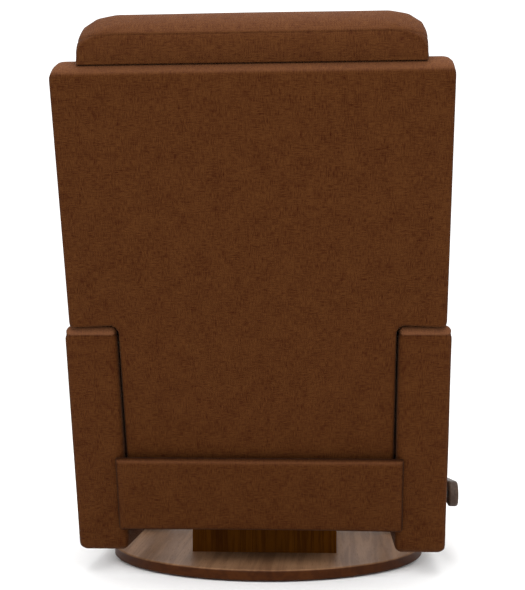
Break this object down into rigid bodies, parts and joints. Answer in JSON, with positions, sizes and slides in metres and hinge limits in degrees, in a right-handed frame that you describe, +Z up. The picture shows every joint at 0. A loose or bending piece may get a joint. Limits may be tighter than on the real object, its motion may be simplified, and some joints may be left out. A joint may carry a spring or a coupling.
{
  "type": "glider recliner",
  "caption": "Upholstered swivel glider recliner with a reclining winged back, a lever-worked footrest and a round wooden base, for sitting, rocking and lying back.",
  "frame": {"origin": "on the floor, on the swivel axis, at the underside of the central base glide", "axes": "+Z up along the swivel axis, the sitter faces -Y, the sitter's right is -X"},
  "size_m": [0.7975, 0.979, 1.0966],
  "materials": {
    "upholstery": "brown woven",
    "deck_cloth": "felted",
    "walnut": "satin lacquer",
    "plywood": "bare",
    "nylon": "moulded",
    "black_steel": "satin black",
    "bright_steel": "zinc plated",
    "spring_steel": "oiled"
  },
  "bodies": {
    "base": {"base_glides": "nylon", "base_disc": "walnut", "pedestal_boards": "walnut", "pedestal_cap": "plywood", "base_screws": "bright_steel", "swivel_lower_plate": "black_steel", "swivel_pivot": "bright_steel", "swivel_cage": "nylon", "swivel_balls": "bright_steel"},
    "swivel": {"swivel_upper_plate": "black_steel", "glider_channels": "black_steel", "glider_uprights": "black_steel", "glider_upper_pins": "bright_steel"},
    "front_links": {"front_glide_links": "black_steel"},
    "rear_links": {"rear_glide_links": "black_steel"},
    "chair": {"carriage_rails": "black_steel", "carriage_risers": "black_steel", "glider_lower_pins": "bright_steel", "cross_tubes": "black_steel", "side_plate_left": "black_steel", "side_plate_right": "black_steel", "mechanism_pins": "bright_steel", "mechanism_bolts": "bright_steel", "seat_rail_front": "plywood", "seat_rail_rear": "plywood", "seat_springs": "spring_steel", "spring_clips": "bright_steel", "seat_deck": "deck_cloth", "seat_cushion": "upholstery", "arm_frame_left": "plywood", "arm_frame_right": "plywood", "arm_cover_left": "upholstery", "arm_cover_right": "upholstery", "rear_valance": "upholstery", "lever_bush": "nylon"},
    "front_swing": {"front_swing_links": "black_steel", "swing_link_pins": "bright_steel", "drive_tube": "black_steel"},
    "rear_swing": {"rear_swing_links": "black_steel"},
    "carrier": {"carrier_bars": "black_steel", "carrier_pins": "bright_steel"},
    "tilt": {"tilt_links": "black_steel"},
    "footrest": {"footrest_brackets": "black_steel", "footrest_pins": "bright_steel", "footrest_board": "plywood", "footrest_pad": "upholstery"},
    "lever": {"lever_handle": "walnut", "lever_shaft": "bright_steel", "lever_crank": "black_steel", "lever_screw": "bright_steel"},
    "pull": {"pull_link": "black_steel"},
    "back": {"back_outer_panel": "upholstery", "back_border": "upholstery", "back_stiles": "plywood", "back_rails": "plywood", "wing_boards": "plywood", "back_springs": "spring_steel", "back_brackets": "black_steel", "back_cushion": "upholstery", "head_pillow": "upholstery"}
  },
  "joints": [
    {"name": "swivel", "type": "hinge", "parent": "base", "child": "swivel", "pos_m": [0, 0, 0.1], "axis": [0, 0, 1], "continuous": true},
    {"name": "glide", "type": "hinge", "parent": "swivel", "child": "front_links", "pos_m": [0, -0.13, 0.215], "axis": [1, 0, 0], "range_deg": [-20, 20]},
    {"name": "chair_hang", "type": "hinge", "parent": "front_links", "child": "chair", "pos_m": [0, -0.13, 0.115], "axis": [1, 0, 0], "range_deg": [-20, 20]},
    {"name": "rear_glide", "type": "hinge", "parent": "swivel", "child": "rear_links", "pos_m": [0, 0.13, 0.215], "axis": [1, 0, 0], "range_deg": [-20, 20]},
    {"name": "footrest_swing", "type": "hinge", "parent": "chair", "child": "front_swing", "pos_m": [0, -0.13, 0.3], "axis": [-1, 0, 0], "range_deg": [0, 90]},
    {"name": "rear_swing", "type": "hinge", "parent": "chair", "child": "rear_swing", "pos_m": [0, -0.05, 0.3], "axis": [-1, 0, 0], "range_deg": [0, 90]},
    {"name": "carrier_level", "type": "hinge", "parent": "front_swing", "child": "carrier", "pos_m": [0, -0.03, 0.12679], "axis": [-1, 0, 0], "range_deg": [-90, 0]},
    {"name": "footrest_tilt", "type": "hinge", "parent": "carrier", "child": "footrest", "pos_m": [0, -0.285, 0.29979], "axis": [-1, 0, 0], "range_deg": [0, 90]},
    {"name": "tilt_level", "type": "hinge", "parent": "front_swing", "child": "tilt", "pos_m": [0, 0.00535, 0.08466], "axis": [-1, 0, 0], "range_deg": [-90, 0]},
    {"name": "release_lever", "type": "hinge", "parent": "chair", "child": "lever", "pos_m": [0, 0.11, 0.15], "axis": [-1, 0, 0], "range_deg": [0, 90]},
    {"name": "pull_level", "type": "hinge", "parent": "lever", "child": "pull", "pos_m": [0, 0.10566, 0.17462], "axis": [-1, 0, 0], "range_deg": [-90, 0]},
    {"name": "recline", "type": "hinge", "parent": "chair", "child": "back", "pos_m": [0, 0.30404, 0.275], "axis": [-1, 0, 0], "range_deg": [0, 30]}
  ],
  "couplings": [
    {"joint": "chair_hang", "follows": "glide", "ratio": -1},
    {"joint": "rear_glide", "follows": "glide", "ratio": 1},
    {"joint": "rear_swing", "follows": "footrest_swing", "ratio": 1},
    {"joint": "carrier_level", "follows": "footrest_swing", "ratio": -1},
    {"joint": "footrest_tilt", "follows": "footrest_swing", "ratio": 1},
    {"joint": "tilt_level", "follows": "footrest_swing", "ratio": -1},
    {"joint": "release_lever", "follows": "footrest_swing", "ratio": 1},
    {"joint": "pull_level", "follows": "footrest_swing", "ratio": -1}
  ]
}
